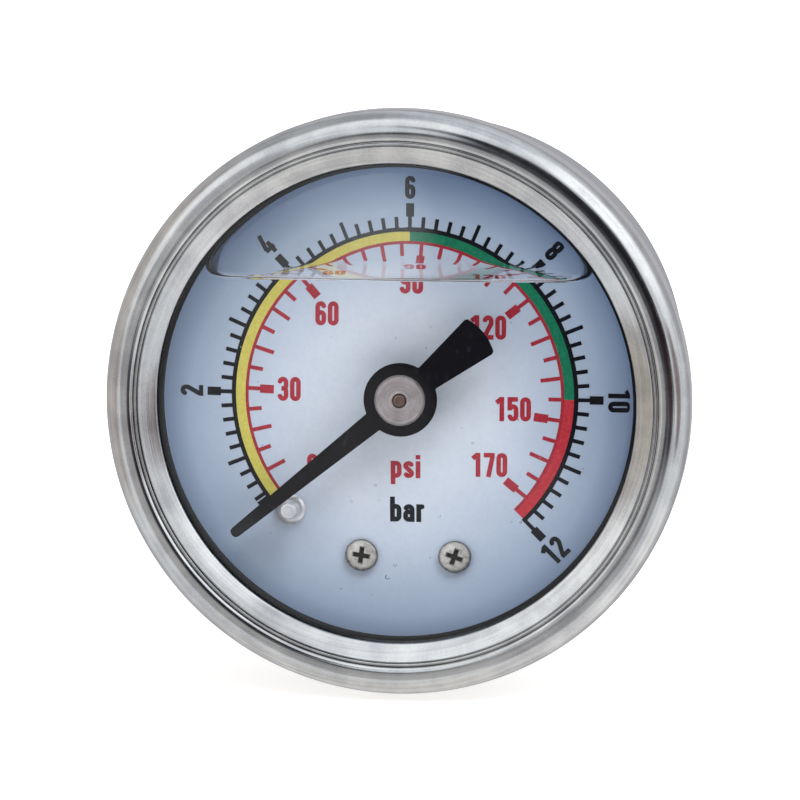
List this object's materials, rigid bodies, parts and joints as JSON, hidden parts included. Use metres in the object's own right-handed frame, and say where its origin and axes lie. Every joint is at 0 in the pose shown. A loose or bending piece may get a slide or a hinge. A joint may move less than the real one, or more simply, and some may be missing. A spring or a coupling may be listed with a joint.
{
  "type": "pressure gauge",
  "caption": "Liquid-filled Bourdon tube pressure gauge with a crimped stainless bezel, domed window, dual bar and psi dial, black pointer and a centre-back threaded stem.",
  "frame": {"origin": "on the stem axis at the rear face of the wrench square, where the pipe thread starts", "axes": "+Y along the stem, out of the back of the case; the dial faces -Y; +Z towards 12 o'clock; +X to the right as the dial is read"},
  "size_m": [0.043, 0.0458, 0.043],
  "materials": {
    "polished_steel": "polished stainless steel with fine turning marks",
    "case_steel": "drawn stainless steel, satin",
    "clear_window": "clear domed acrylic and the clear glycerine behind it",
    "black_rubber": "nitrile rubber",
    "black_plastic": "matt black plastic",
    "dial_paint": "white paint with printed scales, satin",
    "bright_steel": "bright turned steel",
    "socket_brass": "turned brass",
    "movement_brass": "stamped brass",
    "tube_bronze": "phosphor bronze",
    "pointer_black": "satin black paint"
  },
  "bodies": {
    "housing": {"bezel_ring": "polished_steel", "case_cup": "case_steel", "window": "clear_window", "window_gasket": "black_rubber", "socket_seal": "black_rubber", "filler_plug": "black_rubber", "dial_spacer_ring": "black_plastic", "dial_plate": "dial_paint", "stop_pin": "bright_steel", "dial_screw_left": "bright_steel", "dial_screw_right": "bright_steel", "bracket_screw": "bright_steel", "case_screw_left": "bright_steel", "case_screw_right": "bright_steel", "pillar_screw_left": "bright_steel", "pillar_screw_right": "bright_steel", "movement_screw_left": "bright_steel", "movement_screw_right": "bright_steel", "socket": "socket_brass", "restrictor_screw": "socket_brass", "dial_bracket": "movement_brass", "movement_back_plate": "movement_brass", "movement_front_plate": "movement_brass", "pillar_left": "movement_brass", "pillar_right": "movement_brass", "hairspring_stud": "movement_brass", "bourdon_tube": "tube_bronze", "hairspring": "tube_bronze"},
    "pointer_set": {"pinion_arbor": "movement_brass", "hairspring_collet": "movement_brass", "pointer": "pointer_black", "pointer_hub": "bright_steel"},
    "sector": {"sector_gear": "movement_brass", "sector_arbor": "bright_steel", "link_screw_tail": "bright_steel"},
    "tube_end": {"tube_tip": "movement_brass", "link_screw_tip": "bright_steel"},
    "link": {"link_bar": "movement_brass"}
  },
  "joints": [
    {"name": "sector_swing", "type": "hinge", "parent": "housing", "child": "sector", "pos_m": [0.002, -0.0162, -0.00877], "axis": [0, -1, 0], "range_deg": [0, 33], "stiffness_Nm_per_rad": 0.0005, "springref_deg": -17.19},
    {"name": "pointer_turn", "type": "hinge", "parent": "housing", "child": "pointer_set", "pos_m": [0, -0.0275, 0], "axis": [0, 1, 0], "range_deg": [0, 264], "deforming": ["hairspring"]},
    {"name": "tube_end_swing", "type": "hinge", "parent": "housing", "child": "tube_end", "pos_m": [-0.001, -0.0163, 0.004], "axis": [0, -1, 0], "range_deg": [0, 13.3], "deforming": ["bourdon_tube"]},
    {"name": "link_pivot", "type": "hinge", "parent": "tube_end", "child": "link", "pos_m": [0.0104, -0.01695, 0.0016], "axis": [0, -1, 0], "range_deg": [-15.91, 0]}
  ],
  "couplings": [
    {"joint": "pointer_turn", "follows": "sector_swing", "ratio": 8},
    {"joint": "tube_end_swing", "follows": "sector_swing", "ratio": 0.403},
    {"joint": "link_pivot", "follows": "sector_swing", "ratio": -0.482}
  ]
}
